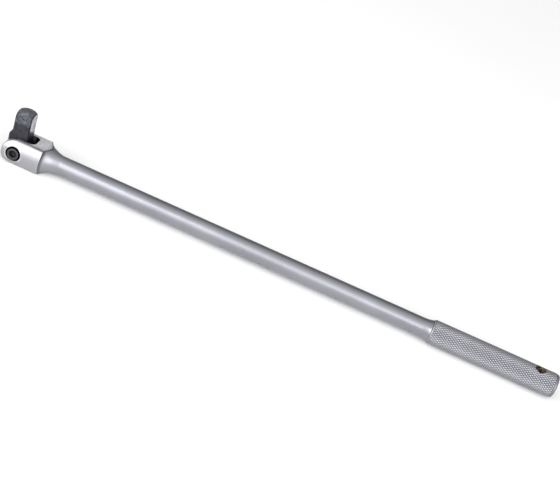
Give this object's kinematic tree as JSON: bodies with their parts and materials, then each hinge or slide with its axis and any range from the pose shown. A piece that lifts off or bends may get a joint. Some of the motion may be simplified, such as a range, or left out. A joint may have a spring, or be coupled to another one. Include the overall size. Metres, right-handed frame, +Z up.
{
  "type": "breaker bar",
  "caption": "Flex-head breaker bar: satin chrome bar with a forked yoke, swinging black half-inch square drive tang on a pivot screw, and a diamond-knurled grip with a cross hole.",
  "frame": {"origin": "centre of the bounding box in plan, on the plane of the yoke's lower flat, which is the lowest face", "axes": "+X along the bar from the head to the grip, +Y along the pivot axis away from the screw's head, +Z up along the standing tang"},
  "size_m": [0.4284, 0.0276, 0.0404],
  "materials": {
    "satin_chrome": "satin chrome plate on forged alloy steel",
    "knurled_chrome": "satin chrome plate over a diamond knurl",
    "black_oxide": "black phosphated forged steel",
    "black_screw": "black oxide",
    "plain_steel": "ground steel",
    "spring_steel": "drawn spring wire",
    "polished_steel": "polished bearing ball"
  },
  "bodies": {
    "handle": {"bar": "satin_chrome", "knurled_grip": "knurled_chrome", "pivot_screw": "black_screw", "plunger_spring": "spring_steel"},
    "tang": {"drive_tang": "black_oxide", "socket_ball_spring": "spring_steel"},
    "ball": {"socket_ball": "polished_steel"},
    "plunger": {"hold_plunger": "plain_steel"}
  },
  "joints": [
    {"name": "tang_swing", "type": "hinge", "parent": "handle", "child": "tang", "pos_m": [-0.2044, 0, 0.00985], "axis": [0, 1, 0], "range_deg": [-182.1, 7.9]},
    {"name": "ball_press", "type": "slide", "parent": "tang", "child": "ball", "axis": [0, -1, 0], "range_m": [0, 0.0008], "stiffness_N_per_m": 1500, "deforming": ["socket_ball_spring"]},
    {"name": "plunger_press", "type": "slide", "parent": "handle", "child": "plunger", "axis": [1, 0, 0], "range_m": [0, 0.0012], "stiffness_N_per_m": 2000, "deforming": ["plunger_spring"]}
  ]
}
